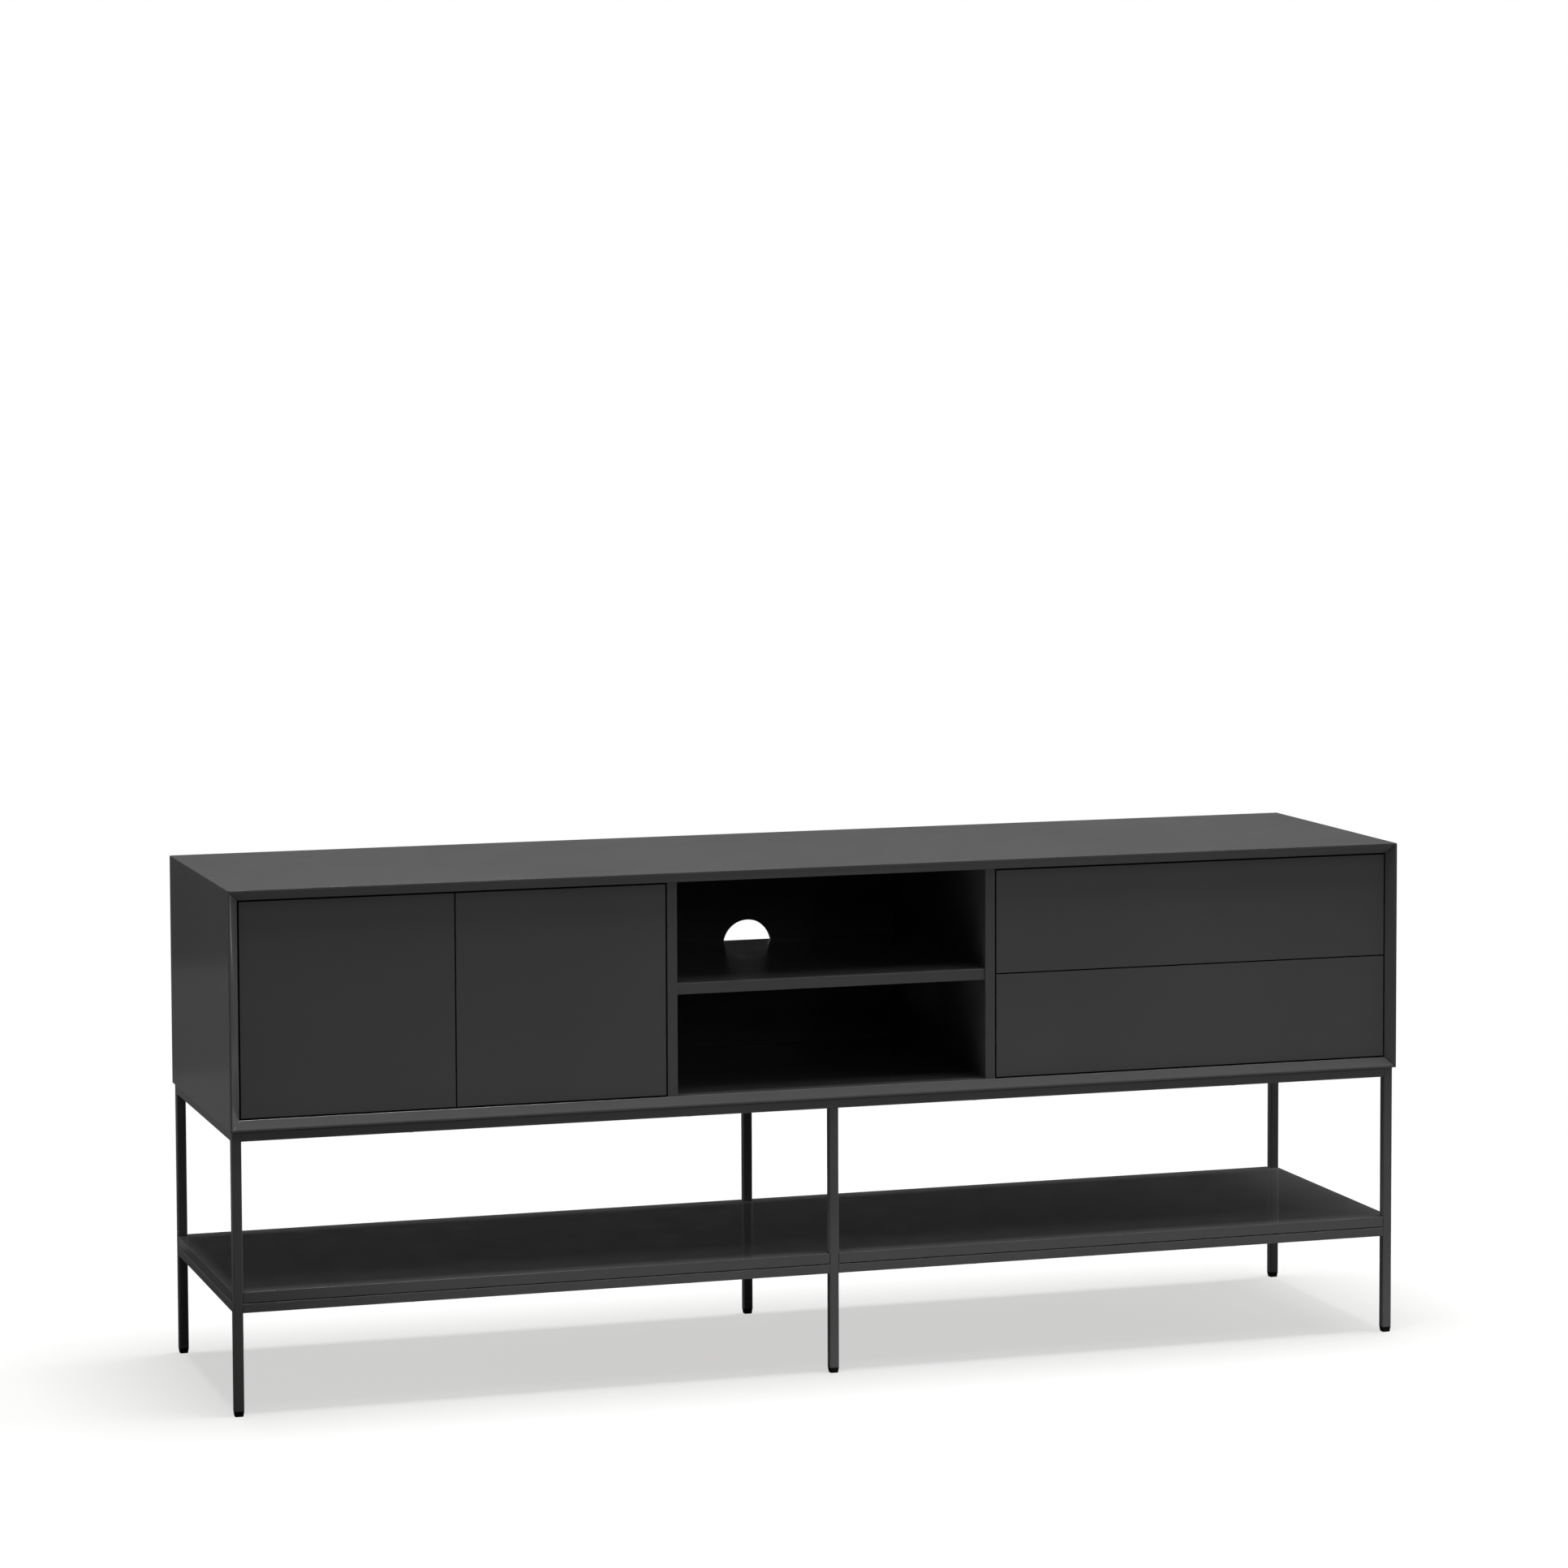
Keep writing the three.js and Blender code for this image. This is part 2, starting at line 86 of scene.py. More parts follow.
class Finish:
    """A procedural material: one Principled shader and the noise that breaks up its surface."""

    def __init__(self, name):
        self.material = bpy.data.materials.new(name)
        self.material.use_nodes = True
        self.tree = self.material.node_tree
        self.tree.nodes.clear()
        self.shader = self.node("ShaderNodeBsdfPrincipled")
        output = self.node("ShaderNodeOutputMaterial")
        self.link(self.shader.outputs["BSDF"], output.inputs["Surface"])
        self.place = self.node("ShaderNodeTexCoord").outputs["Object"]

    def node(self, kind):
        return self.tree.nodes.new(kind)

    def link(self, start, end):
        self.tree.links.new(start, end)

    def set(self, **values):
        for name, value in values.items():
            self.shader.inputs[name.replace("_", " ")].default_value = value

    def stretched(self, scale):
        mapping = self.node("ShaderNodeMapping")
        mapping.inputs["Scale"].default_value = scale
        self.link(self.place, mapping.inputs["Vector"])
        return mapping.outputs["Vector"]

    def noise(self, scale, detail=2.0, roughness=0.5, vector=None):
        texture = self.node("ShaderNodeTexNoise")
        texture.inputs["Scale"].default_value = scale
        texture.inputs["Detail"].default_value = detail
        texture.inputs["Roughness"].default_value = roughness
        self.link(vector or self.place, texture.inputs["Vector"])
        return texture.outputs["Fac"]

    def colours(self, value, dark, light):
        ramp = self.node("ShaderNodeValToRGB")
        ramp.color_ramp.elements[0].position = NOISE_LOW
        ramp.color_ramp.elements[0].color = (*dark, 1.0)
        ramp.color_ramp.elements[1].position = NOISE_HIGH
        ramp.color_ramp.elements[1].color = (*light, 1.0)
        self.link(value, ramp.inputs["Fac"])
        self.link(ramp.outputs["Color"], self.shader.inputs["Base Color"])

    def roughness(self, value, low, high):
        spread = self.node("ShaderNodeMapRange")
        spread.inputs["From Min"].default_value = NOISE_LOW
        spread.inputs["From Max"].default_value = NOISE_HIGH
        spread.inputs["To Min"].default_value = low
        spread.inputs["To Max"].default_value = high
        self.link(value, spread.inputs["Value"])
        self.link(spread.outputs["Result"], self.shader.inputs["Roughness"])

    def bumps(self, *layers):
        """Bump layers as (height, depth in metres), the finest last."""
        normal = None
        for height, depth in layers:
            bump = self.node("ShaderNodeBump")
            bump.inputs["Strength"].default_value = 1.0
            bump.inputs["Distance"].default_value = depth
            self.link(height, bump.inputs["Height"])
            if normal is not None:
                self.link(normal, bump.inputs["Normal"])
            normal = bump.outputs["Normal"]
        self.link(normal, self.shader.inputs["Normal"])
        return self.material


def grey(level):
    return (level, level, level)


def graphite_lacquer():
    """Sprayed satin lacquer: faint orange peel, and a gloss that drifts slowly over the face."""
    finish = Finish("graphite_lacquer")
    finish.set(IOR=1.5, Specular_IOR_Level=0.5)
    finish.colours(finish.noise(3.0, detail=4.0), grey(0.062), grey(0.068))
    finish.roughness(finish.noise(22.0, detail=5.0, roughness=0.6), 0.10, 0.14)
    peel = finish.noise(320.0, detail=1.5)
    grain = finish.noise(2600.0, detail=1.0)
    return finish.bumps((peel, 0.000004), (grain, 0.000001))


def inner_board():
    """Melamine-faced board: a fine pressed texture with a little fleck in the colour."""
    finish = Finish("inner_board")
    finish.set(IOR=1.5, Specular_IOR_Level=0.4)
    finish.colours(finish.noise(900.0, detail=3.0, roughness=0.7), grey(0.070), grey(0.086))
    finish.roughness(finish.noise(60.0, detail=4.0), 0.52, 0.62)
    pores = finish.noise(1.0, detail=2.0, vector=finish.stretched((900.0, 260.0, 900.0)))
    return finish.bumps((pores, 0.00003))


def frame_steel():
    """Powder coat on steel: fine even texture, a little rougher than the lacquer."""
    finish = Finish("frame_steel")
    finish.set(IOR=1.5, Specular_IOR_Level=0.5)
    finish.colours(finish.noise(9.0, detail=3.0), grey(0.055), grey(0.062))
    finish.roughness(finish.noise(140.0, detail=4.0), 0.30, 0.38)
    pebble = finish.noise(1100.0, detail=2.0)
    wave = finish.noise(240.0, detail=1.0)
    return finish.bumps((wave, 0.000018), (pebble, 0.000012))


def zinc_steel():
    """Bright zinc plate on pressed steel: drawn scratches and cloudy patches."""
    finish = Finish("zinc_steel")
    finish.set(Metallic=1.0)
    finish.colours(finish.noise(70.0, detail=4.0), (0.50, 0.52, 0.55), (0.68, 0.69, 0.70))
    scratches = finish.noise(1.0, detail=3.0, vector=finish.stretched((2400.0, 90.0, 2400.0)))
    finish.roughness(scratches, 0.26, 0.44)
    return finish.bumps((scratches, 0.000012))


def foot_plastic():
    """Black moulded plastic with a spark-eroded grain."""
    finish = Finish("foot_plastic")
    finish.set(IOR=1.49, Specular_IOR_Level=0.3)
    finish.colours(finish.noise(160.0, detail=3.0), grey(0.0025), grey(0.0045))
    finish.roughness(finish.noise(500.0, detail=3.0), 0.45, 0.60)
    return finish.bumps((finish.noise(1500.0, detail=2.0), 0.00002))


# ---- The carried-over nodes ------------------------------------------------------------------

# How far each kind of edge is rounded, by the material slot that a node's finish comes from.
EDGE_ROUND = {
    "graphite_lacquer": 0.4 * MM,
    "inner_board": 0.4 * MM,
    "frame_steel": 0.35 * MM,
    "zinc_steel": 0.2 * MM,
    "foot_plastic": 0.4 * MM,
}
ROUND_SEGMENTS = 3
ROUND_ABOVE = math.radians(30.0)
WELD_DISTANCE = 0.01 * MM


def slot_of(name):
    """The material slot of a node, by what kind of piece its name says it is."""
    if "hinge" in name or "runner" in name or "slide" in name:
        return "zinc_steel"
    if name.endswith("_foot"):
        return "foot_plastic"
    if name.endswith("_leg") or name.endswith("_rail"):
        return "frame_steel"
    if name == "cabinet_shelf" or ("drawer" in name and not name.endswith("_front")):
        return "inner_board"
    return "graphite_lacquer"


def soften(node, width):
    """Rounds a node's edges, without touching its own mesh."""
    weld = node.modifiers.new("weld", "WELD")
    weld.merge_threshold = WELD_DISTANCE
    bevel = node.modifiers.new("round", "BEVEL")
    bevel.width = width
    bevel.segments = ROUND_SEGMENTS
    bevel.limit_method = "ANGLE"
    bevel.angle_limit = ROUND_ABOVE
    bevel.harden_normals = True


def finish_nodes(materials):
    for name, node in nodes.items():
        slot = slot_of(name)
        node.data.materials.clear()
        node.data.materials.append(materials[slot])
        soften(node, EDGE_ROUND[slot])


# ---- Small fittings --------------------------------------------------------------------------

# Every loop of points has this many, so that any loop can be joined to the next.
LOOP = 24
CROSS_ARM_SHARE = 0.26
TINY = 1e-6
# A pan head from its foot to its crown: shares of its radius and of its height.
PAN_HEAD = ((1.0, 0.0), (1.0, 0.35), (0.94, 0.68), (0.80, 0.90), (0.60, 1.0))
RECESS_TOP = 0.5
RECESS_FLOOR = 0.34
RECESS_LEVEL = 0.3
# A thin bolt head and its hexagon socket, in the same shares.
BOLT_HEAD = ((1.0, 0.0), (1.0, 0.6), (0.9, 1.0))
SOCKET = ((0.5, 1.0), (0.45, 0.1))
TAB_CHAMFER = 0.4 * MM
TAB_CHAMFER_SHARE = 0.3
SMOOTH_BELOW = math.radians(35.0)


def circle(radius):
    steps = (math.tau * step / LOOP for step in range(LOOP))
    return [(radius * math.cos(angle), radius * math.sin(angle)) for angle in steps]


def rings(profile):
    """Circles one above another, from their radii and heights in millimetres."""
    return [(circle(radius * MM), height * MM) for radius, height in profile]


def cross(radius):
    """The outline of a cross recess."""
    arm = CROSS_ARM_SHARE * radius
    points = []
    for x, y in circle(1.0):
        across, up = max(abs(x), TINY), max(abs(y), TINY)
        reach = max(min(radius / across, arm / up), min(arm / across, radius / up))
        points.append((reach * x, reach * y))
    return points


def hexagon(radius):
    side, half_side = math.tau / 6, math.tau / 12
    points = []
    for step, (x, y) in enumerate(circle(radius)):
        off_flat = math.tau * step / LOOP % side - half_side
        reach = math.cos(half_side) / math.cos(off_flat)
        points.append((reach * x, reach * y))
    return points


def rounded(width, height, corner):
    """A rectangle round the origin with rounded corners."""
    points = []
    for quarter, (right, up) in enumerate(((1, 1), (-1, 1), (-1, -1), (1, -1))):
        for step in range(LOOP // 4):
            angle = math.radians(90.0 * (quarter + step / (LOOP / 4 - 1)))
            x = right * (width / 2 - corner) + corner * math.cos(angle)
            y = up * (height / 2 - corner) + corner * math.sin(angle)
            points.append((x, y))
    return points


def stack(bm, place, towards, layers):
    """A solid of loops joined one above another, rising from place in the direction towards."""
    turn = Vector(towards).to_track_quat("Z", "Y").to_matrix().to_4x4()
    frame_here = Matrix.Translation(place) @ turn
    loops = [
        [bm.verts.new(frame_here @ Vector((x, y, height))) for x, y in points]
        for points, height in layers
    ]
    for lower, upper in zip(loops, loops[1:]):
        for one in range(LOOP):
            two = (one + 1) % LOOP
            bm.faces.new((lower[one], lower[two], upper[two], upper[one]))
    bm.faces.new(tuple(reversed(loops[0])))
    bm.faces.new(loops[-1])


def screw(bm, place, towards, radius, height=0.0):
    """A pan head with a cross recess."""
    height = height or radius / 2
    layers = [(circle(share * radius), level * height) for share, level in PAN_HEAD]
    layers.append((cross(RECESS_TOP * radius), height))
    layers.append((cross(RECESS_FLOOR * radius), RECESS_LEVEL * height))
    stack(bm, place, towards, layers)


def flush_bolt(bm, place, towards, radius, height):
    """A thin head with a hexagon socket."""
    layers = [(circle(share * radius), level * height) for share, level in BOLT_HEAD]
    layers += [(hexagon(share * radius), level * height) for share, level in SOCKET]
    stack(bm, place, towards, layers)


def tab(bm, place, towards, width, height, corner, thickness):
    """A plate with rounded corners and a small chamfer round its outer face."""
    edge = min(TAB_CHAMFER, TAB_CHAMFER_SHARE * thickness)
    stack(bm, place, towards, (
        (rounded(width, height, corner), 0.0),
        (rounded(width, height, corner), thickness - edge),
        (rounded(width - 2 * edge, height - 2 * edge, corner - edge), thickness),
    ))


def fitting(name, bm, slot, body=None):
    """Makes the mesh an object in a slot's finish, riding on a body if one is named."""
    mesh = bpy.data.meshes.new(name)
    bmesh.ops.recalc_face_normals(bm, faces=bm.faces)
    bm.to_mesh(mesh)
    bm.free()
    mesh.polygons.foreach_set("use_smooth", [True] * len(mesh.polygons))
    mesh.set_sharp_from_angle(angle=SMOOTH_BELOW)
    mesh.materials.append(MATERIALS[slot])
    piece = bpy.data.objects.new(name, mesh)
    SCENE.collection.objects.link(piece)
    if body:
        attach(piece, body)
    return piece


def middle(low, high, axis):
    return (low[axis] + high[axis]) / 2


# ---- Door fittings ---------------------------------------------------------------------------

# On the upright: the arm's plate and channel, with the screws through them.
PLATE_THICKNESS = 2.5 * MM
PLATE_MIDDLE = 42.0 * MM
PLATE_SCREW_UP = 14.5 * MM
PLATE_SCREW_RADIUS = 3.9 * MM
CHANNEL_FLOOR = 8.0 * MM
ADJUSTERS = (18.0 * MM, 54.0 * MM)
ADJUSTER_RADIUS = 3.4 * MM
ADJUSTER_HEIGHT = 2.2 * MM
# On the door: the cup's flange and its two wings, each with a screw.
CUP_FLANGE = 1.0 * MM
WING_UP = 24.5 * MM
WING_WIDTH = 13.0 * MM
WING_HEIGHT = 15.0 * MM
WING_CORNER = 6.0 * MM
WING_THICKNESS = 1.3 * MM
WING_SCREW_UP = 25.0 * MM
WING_SCREW_RADIUS = 3.4 * MM
# The links between them, the stretch they span and the loops it is built of, and their pins.
LINK_STEPS = 28
LINK_THICKNESS = 1.6 * MM
LINK_WIDTH = 8.6 * MM
LINK_CORNER = 0.5 * MM
LINK_OFFSETS = (-7.0 * MM, 1.0 * MM)
LINK_TOP = 5.0 * MM
LINK_BOTTOM = -8.4 * MM
PIN_DEPTH = 6.0 * MM
PIN_RADIUS = 1.7 * MM
PIN_LENGTH = 15.0 * MM
PIN_EASE = 0.3
# The touch latches. The profiles are radii and heights in millimetres.
LATCH_LENGTH = 72.0 * MM
LATCH_SIZE = 18.0 * MM
LATCH_CORNER = 2.0 * MM
LATCH_GAP = 4.0 * MM
LATCH_FROM_MEETING = 30.0 * MM
PLUNGER = ((3.4, -1.0), (3.4, 2.2), (2.9, 2.8), (1.8, 3.2))
STRIKE = ((3.9, 0.0), (3.9, 0.36), (3.5, 0.6), (0.8, 0.48))
DOORS = (("left_door", 1.0), ("right_door", -1.0))
LEVELS = ("lower", "upper")


def hinge_link(door, level, inward):
    """Two steel straps from the fixed arm into the cup."""
    low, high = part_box(f"{door}_{level}_hinge_cup")
    x, z = middle(low, high, 0), middle(low, high, 2)
    back = high[1] - CUP_FLANGE
    bm = bmesh.new()
    for offset in LINK_OFFSETS:
        outline = rounded(LINK_THICKNESS, LINK_WIDTH, LINK_CORNER)
        rise = LINK_TOP - LINK_BOTTOM
        layers = [(outline, rise * step / LINK_STEPS) for step in range(LINK_STEPS + 1)]
        stack(bm, (x + inward * offset, back + LINK_BOTTOM, z), (0, 1, 0), layers)
    link = fitting(f"{door}_{level}_hinge_link", bm, "zinc_steel")
    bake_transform(link)


def door_fittings(door, inward):
    """What is screwed to a door and to the upright it hangs on. inward is +1 or -1 along X."""
    on_door, on_upright = bmesh.new(), bmesh.new()
    out_of_upright, out_of_door = (inward, 0, 0), (0, 1, 0)
    for level in LEVELS:
        low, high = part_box(f"{door}_{level}_hinge_cup")
        x, z = middle(low, high, 0), middle(low, high, 2)
        back = high[1] - CUP_FLANGE
        for end in (-1, 1):
            wing = (x, back, z + end * WING_UP)
            tab(on_door, wing, out_of_door, WING_WIDTH, WING_HEIGHT, WING_CORNER, WING_THICKNESS)
            on_wing = (x, back + WING_THICKNESS, z + end * WING_SCREW_UP)
            screw(on_door, on_wing, out_of_door, WING_SCREW_RADIUS)
        for offset in LINK_OFFSETS:
            pin = (x + inward * offset, back - PIN_DEPTH, z - PIN_LENGTH / 2)
            stack(on_door, pin, (0, 0, 1), rod(PIN_RADIUS, PIN_LENGTH))
        low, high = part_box(f"{door}_{level}_hinge_arm")
        upright = low[0] if inward > 0 else high[0]
        plate = upright + inward * PLATE_THICKNESS
        for up in (-PLATE_SCREW_UP, PLATE_SCREW_UP):
            place = (plate, back + PLATE_MIDDLE, z + up)
            screw(on_upright, place, out_of_upright, PLATE_SCREW_RADIUS)
        floor = upright + inward * CHANNEL_FLOOR
        for setback in ADJUSTERS:
            place = (floor, back + setback, z)
            screw(on_upright, place, out_of_upright, ADJUSTER_RADIUS, ADJUSTER_HEIGHT)
        hinge_link(door, level, inward)
    fitting(f"{door}_cup_wings", on_door, "zinc_steel", door)
    fitting(f"{door}_hinge_screws", on_upright, "zinc_steel", "cabinet")


def rod(radius, length):
    """A plain pin with its ends eased."""
    ease = PIN_EASE * radius
    return (
        (circle(radius - ease), 0.0), (circle(radius), ease),
        (circle(radius), length - ease), (circle(radius - ease), length),
    )


def push_latches():
    """Touch latches under the top, one behind each door, and the discs they press on."""
    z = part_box("top_panel")[0][2] - LATCH_SIZE / 2
    for door, inward in DOORS:
        low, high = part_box(door)
        meeting = high[0] if inward > 0 else low[0]
        x = meeting - inward * LATCH_FROM_MEETING
        back = high[1]
        body, disc = bmesh.new(), bmesh.new()
        tip = back + LATCH_GAP
        far_end, forward = (x, tip + LATCH_LENGTH, z), (0, -1, 0)
        tab(body, far_end, forward, LATCH_SIZE, LATCH_SIZE, LATCH_CORNER, LATCH_LENGTH)
        stack(body, (x, tip, z), forward, rings(PLUNGER))
        stack(disc, (x, back, z), (0, 1, 0), rings(STRIKE))
        fitting(f"{door}_push_latch", body, "foot_plastic", "cabinet")
        fitting(f"{door}_strike_disc", disc, "zinc_steel", door)


# ---- Cabinet fittings ------------------------------------------------------------------------

PEG_SETBACKS = (50.0 * MM, 330.0 * MM)
BUSH_STEP = 32.0 * MM
BUSH_ROWS = (-3, -2, -1, 1, 2, 3)
PEG_RADIUS = 2.5 * MM
# Radii and heights in millimetres.
PEG = ((4.4, 0.0), (4.4, 0.6), (4.0, 0.9), (2.5, 1.0), (2.5, 8.0), (1.7, 8.8))
BUSH = ((4.0, 0.0), (3.8, 0.4), (2.7, 0.5), (2.5, 0.05))
BACK_SCREW_RADIUS = 3.4 * MM
BACK_SCREW_INSET = 7.5 * MM
BACK_SCREW_COUNT = 9
# How far along from the middle of the bay to a divider a screw goes into the bay's shelf.
SHELF_SCREW_SHARE = 0.6
# Bolts and pads stand at these shares of the rails' reach from the middle.
BOLT_SHARES = (-0.72, -0.25, 0.25, 0.72)
PAD_SHARES = (-0.95, -0.48, 0.48, 0.95)
SHELF_PAD_SHARES = (-0.8, -0.2, 0.2, 0.8)
BOLT_RADIUS = 5.0 * MM
BOLT_HEIGHT = 0.5 * MM
PAD_SIZE = 10.0 * MM
PAD_CORNER = 4.9 * MM


def shelf_pegs():
    """Pegs under the loose shelf, and the row of bushes that it could be moved to."""
    low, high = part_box("cabinet_shelf")
    pegs, bushes = bmesh.new(), bmesh.new()
    level = low[2] - PEG_RADIUS
    walls = ((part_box("left_side_panel")[1][0], 1.0), (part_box("left_divider")[0][0], -1.0))
    for wall, towards in walls:
        for setback in PEG_SETBACKS:
            y = low[1] + setback
            stack(pegs, (wall, y, level), (towards, 0, 0), rings(PEG))
            for row in BUSH_ROWS:
                place = (wall, y, level + row * BUSH_STEP)
                stack(bushes, place, (towards, 0, 0), rings(BUSH))
    fitting("shelf_pegs", pegs, "zinc_steel", "cabinet")
    fitting("peg_bushes", bushes, "foot_plastic", "cabinet")


def back_screws():
    """Screws round the edge of the back panel and into the dividers and the centre shelf."""
    low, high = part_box("back_panel")
    left, right = low[0] + BACK_SCREW_INSET, high[0] - BACK_SCREW_INSET
    bottom, top = low[2] + BACK_SCREW_INSET, high[2] - BACK_SCREW_INSET
    half = middle(low, high, 2)
    places = [(left, half), (right, half)]
    for step in range(BACK_SCREW_COUNT):
        x = left + (right - left) * step / (BACK_SCREW_COUNT - 1)
        places += [(x, bottom), (x, top)]
    for divider in ("left_divider", "right_divider"):
        x = middle(*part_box(divider), 0)
        places += [(x, (bottom + half) / 2), (x, (top + half) / 2)]
        places.append((x * SHELF_SCREW_SHARE, half))
    bm = bmesh.new()
    for x, z in places:
        screw(bm, (x, high[1], z), (0, 1, 0), BACK_SCREW_RADIUS)
    fitting("back_panel_screws", bm, "zinc_steel", "cabinet")


def frame_bolts_and_pads():
    """Bolts up through the rails into the boards, and the pads that the boards rest on."""
    bolts, pads = bmesh.new(), bmesh.new()
    for row in ("front", "rear"):
        top_low, top_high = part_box(f"top_{row}_rail")
        low_low, low_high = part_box(f"lower_{row}_right_rail")
        y, reach = middle(top_low, top_high, 1), top_high[0]
        for share in BOLT_SHARES:
            for rail in (top_low, low_low):
                place = (share * reach, y, rail[2])
                flush_bolt(bolts, place, (0, 0, -1), BOLT_RADIUS, BOLT_HEIGHT)
        under_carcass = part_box("bottom_panel")[0][2] - top_high[2]
        for share in PAD_SHARES:
            place = (share * reach, y, top_high[2])
            tab(pads, place, (0, 0, 1), PAD_SIZE, PAD_SIZE, PAD_CORNER, under_carcass)
        under_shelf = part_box("lower_shelf")[0][2] - low_high[2]
        for share in SHELF_PAD_SHARES:
            place = (share * reach, y, low_high[2])
            tab(pads, place, (0, 0, 1), PAD_SIZE, PAD_SIZE, PAD_CORNER, under_shelf)
    fitting("frame_bolts", bolts, "zinc_steel", "cabinet")
    fitting("support_pads", pads, "foot_plastic", "cabinet")


# ---- Drawer fittings -------------------------------------------------------------------------

DRAWERS = ("upper_drawer", "lower_drawer")
CAM_SETBACK = 24.0 * MM
CAM_SHARES = (0.28, 0.72)
# Radii and heights in millimetres: the disc, then the cross recess in it.
CAM_DISC = ((7.5, 0.0), (7.5, 0.5), (6.9, 0.8))
CAM_RECESS = ((3.375, 0.8), (3.0, 0.1))
SLIDE_SCREW_SHARES = (0.12, 0.5, 0.88)
SLIDE_SCREW_RADIUS = 3.4 * MM
SLIDE_SCREW_HEIGHT = 0.9 * MM
SIDE_SCREW_SHARES = (0.12, 0.88)
SIDE_SCREW_RADIUS = 3.2 * MM
SIDE_SCREW_HEIGHT = 1.2 * MM


def drawer_fittings(drawer):
    """Cam discs inside the drawer's sides, and the screws through its slides and into its back."""
    cams, screws = bmesh.new(), bmesh.new()
    back_low, back_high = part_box(f"{drawer}_back")
    for side, outward in (("left", -1.0), ("right", 1.0)):
        low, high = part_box(f"{drawer}_{side}_side")
        inner, outer = (high[0], low[0]) if outward < 0 else (low[0], high[0])
        rise = high[2] - low[2]
        for share in CAM_SHARES:
            place = (inner, low[1] + CAM_SETBACK, low[2] + share * rise)
            recess = [(cross(radius * MM), height * MM) for radius, height in CAM_RECESS]
            stack(cams, place, (-outward, 0, 0), rings(CAM_DISC) + recess)
        for share in SIDE_SCREW_SHARES:
            place = (outer, middle(back_low, back_high, 1), low[2] + share * rise)
            screw(screws, place, (outward, 0, 0), SIDE_SCREW_RADIUS, SIDE_SCREW_HEIGHT)
        low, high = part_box(f"{drawer}_{side}_slide")
        face = low[0] if outward < 0 else high[0]
        for share in SLIDE_SCREW_SHARES:
            place = (face, low[1] + share * (high[1] - low[1]), middle(low, high, 2))
            screw(screws, place, (outward, 0, 0), SLIDE_SCREW_RADIUS, SLIDE_SCREW_HEIGHT)
    fitting(f"{drawer}_cams", cams, "zinc_steel", drawer)
    fitting(f"{drawer}_screws", screws, "zinc_steel", drawer)


# ---- Stage -----------------------------------------------------------------------------------

FLOOR_SIZE = 60.0
# Round the object the camera sees shadows on the floor, and further off it sees plain white: a
# steady glow, with the light that falls on the floor added to it, fades to white in this range.
SHADOW_RANGE = (1.5, 2.4)
SHADOW_LEVEL = 0.593
SHADOW_TINT = (1.0, 0.992, 0.985)
FLOOR_LIT = 0.165
ROOM_LEVEL = 0.012
# Each softbox: name, where it is, what it faces, width, length, brightness, and whether it is
# mirrored in the object.
SOFTBOXES = (
    ("overhead", (0.0, 0.0, 8.0), (0.0, 0.0, 0.0), 3.2, 3.2, 41.5, True),
    ("overhead_right", (4.0, 0.0, 8.0), (4.0, 0.0, 0.0), 4.8, 3.2, 9.0, True),
    ("overhead_front", (0.8, -3.4, 8.0), (0.8, -3.4, 0.0), 9.6, 2.0, 3.0, False),
    ("front_wall", (2.75, -8.0, 3.7), (2.75, 0.0, 3.7), 10.5, 2.6, 0.8, True),
    ("right_wall", (8.0, 0.0, 4.0), (0.0, 0.0, 4.0), 16.0, 8.0, 1.9, True),
    ("left_wall", (-8.0, 4.0, 2.0), (0.0, 4.0, 2.0), 8.0, 2.0, 9.0, False),
    ("rear_wall", (0.0, 8.0, 0.6), (0.0, 0.0, 0.6), 16.0, 1.2, 0.5, True),
)
# The light that the floor throws back: name, middle, width, length, brightness, and whether it
# is only mirrored in the object, or only lights it.
FLOOR_PANELS = (
    ("floor_near", (0.25, -0.46), 2.0, 0.48, 1.45, False),
    ("floor_middle", (1.3, -1.2), 3.2, 1.0, 0.42, False),
    ("floor_front", (0.8, -2.6), 6.0, 1.8, 0.27, False),
    ("floor_far", (1.8, -5.75), 12.0, 4.5, 0.27, False),
    ("floor_left", (-2.5, 0.0), 2.0, 3.0, 2.0, False),
    ("floor_left_mirrored", (-1.9, 1.9), 1.8, 1.8, 0.078, True),
    ("floor_rear_mirrored", (-2.2, 3.6), 1.8, 1.6, 0.045, True),
)
FLOOR_PANEL_RISE = 0.0005


def light_path_mix(tree, seen, bounced, output):
    """What the camera sees directly is one shader, and what lights the object is the other."""
    path = tree.nodes.new("ShaderNodeLightPath")
    mix = tree.nodes.new("ShaderNodeMixShader")
    tree.links.new(path.outputs["Is Camera Ray"], mix.inputs["Fac"])
    tree.links.new(bounced, mix.inputs[1])
    tree.links.new(seen, mix.inputs[2])
    tree.links.new(mix.outputs["Shader"], output.inputs["Surface"])


def emission(tree, colour, strength):
    glow = tree.nodes.new("ShaderNodeEmission")
    glow.inputs["Color"].default_value = (*colour, 1.0)
    glow.inputs["Strength"].default_value = strength
    return glow


def distance_ramp(tree, start, end):
    """Rises from 0 to 1 as the distance from the middle of the floor goes from start to end."""
    measure = tree.nodes.new("ShaderNodeVectorMath")
    measure.operation = "LENGTH"
    place = tree.nodes.new("ShaderNodeTexCoord").outputs["Object"]
    tree.links.new(place, measure.inputs[0])
    ramp = tree.nodes.new("ShaderNodeMapRange")
    ramp.interpolation_type = "SMOOTHSTEP"
    ramp.inputs["From Min"].default_value = start
    ramp.inputs["From Max"].default_value = end
    tree.links.new(measure.outputs["Value"], ramp.inputs["Value"])
    return ramp.outputs["Result"]


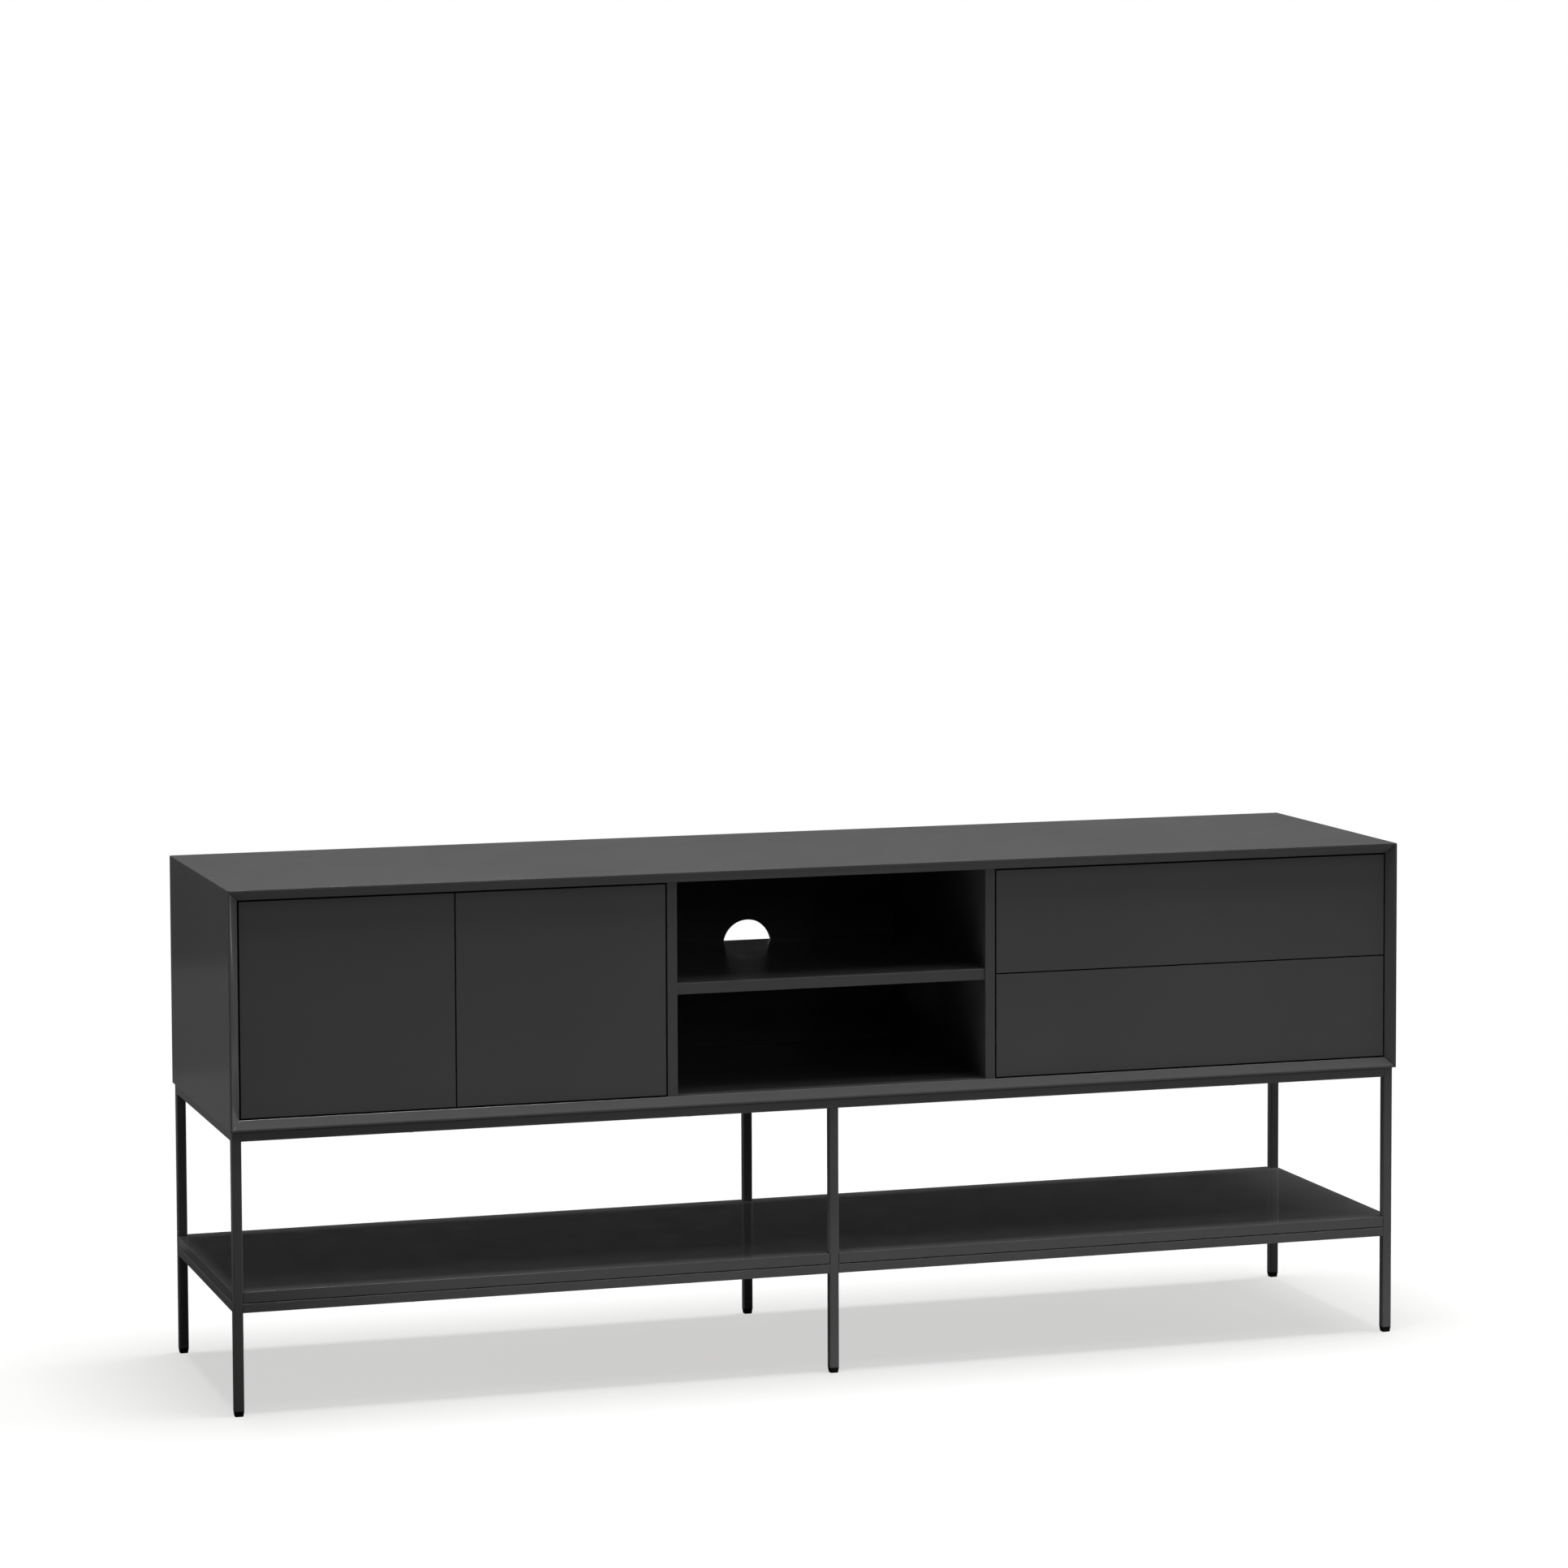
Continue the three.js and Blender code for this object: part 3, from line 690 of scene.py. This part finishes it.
def floor_material():
    material = bpy.data.materials.new("floor")
    material.use_nodes = True
    tree = material.node_tree
    tree.nodes.clear()
    output = tree.nodes.new("ShaderNodeOutputMaterial")
    paper = tree.nodes.new("ShaderNodeBsdfDiffuse")
    paper.inputs["Color"].default_value = (*grey(FLOOR_LIT), 1.0)
    near = tree.nodes.new("ShaderNodeAddShader")
    tree.links.new(emission(tree, SHADOW_TINT, SHADOW_LEVEL).outputs["Emission"], near.inputs[0])
    tree.links.new(paper.outputs["BSDF"], near.inputs[1])
    seen = tree.nodes.new("ShaderNodeMixShader")
    tree.links.new(distance_ramp(tree, *SHADOW_RANGE), seen.inputs["Fac"])
    tree.links.new(near.outputs["Shader"], seen.inputs[1])
    tree.links.new(emission(tree, (1.0, 1.0, 1.0), 1.0).outputs["Emission"], seen.inputs[2])
    dark = emission(tree, (0.0, 0.0, 0.0), 0.0)
    light_path_mix(tree, seen.outputs["Shader"], dark.outputs["Emission"], output)
    return material


def make_floor():
    """A pale floor that takes a soft shadow near the object and is plain white further off."""
    mesh = bpy.data.meshes.new("floor")
    half = FLOOR_SIZE / 2
    corners = [(-half, -half, 0), (half, -half, 0), (half, half, 0), (-half, half, 0)]
    mesh.from_pydata(corners, [], [(0, 1, 2, 3)])
    mesh.materials.append(floor_material())
    floor = bpy.data.objects.new("floor", mesh)
    SCENE.collection.objects.link(floor)


def make_world():
    """White where the camera looks past the object, and nearly dark for lighting it."""
    world = bpy.data.worlds.new("studio")
    world.use_nodes = True
    SCENE.world = world
    tree = world.node_tree
    tree.nodes.clear()
    output = tree.nodes.new("ShaderNodeOutputWorld")
    seen = tree.nodes.new("ShaderNodeBackground")
    seen.inputs["Color"].default_value = (1.0, 1.0, 1.0, 1.0)
    room = tree.nodes.new("ShaderNodeBackground")
    room.inputs["Color"].default_value = (*grey(ROOM_LEVEL), 1.0)
    light_path_mix(tree, seen.outputs["Background"], room.outputs["Background"], output)


def area_light(name, place, facing, width, length, level):
    data = bpy.data.lights.new(name, "AREA")
    data.shape = "RECTANGLE"
    data.size = width
    data.size_y = length
    data.energy = math.pi * width * length * level
    light = bpy.data.objects.new(name, data)
    turn = (Vector(facing) - Vector(place)).to_track_quat("-Z", "Y").to_matrix().to_4x4()
    light.matrix_world = Matrix.Translation(place) @ turn
    light.visible_camera = False
    SCENE.collection.objects.link(light)
    return light


def make_lights():
    for *softbox, mirrored in SOFTBOXES:
        area_light(*softbox).visible_glossy = mirrored
    for name, (x, y), width, length, level, mirrored in FLOOR_PANELS:
        place, above = (x, y, FLOOR_PANEL_RISE), (x, y, 1.0)
        light = area_light(name, place, above, width, length, level)
        light.visible_glossy = mirrored
        light.visible_diffuse = not mirrored
    SCENE.view_settings.view_transform = "Standard"


MATERIALS = {
    "graphite_lacquer": graphite_lacquer(),
    "inner_board": inner_board(),
    "frame_steel": frame_steel(),
    "zinc_steel": zinc_steel(),
    "foot_plastic": foot_plastic(),
}

make_camera()
finish_nodes(MATERIALS)
for door, inward in DOORS:
    door_fittings(door, inward)
push_latches()
shelf_pegs()
back_screws()
frame_bolts_and_pads()
for drawer in DRAWERS:
    drawer_fittings(drawer)
make_floor()
make_world()
make_lights()
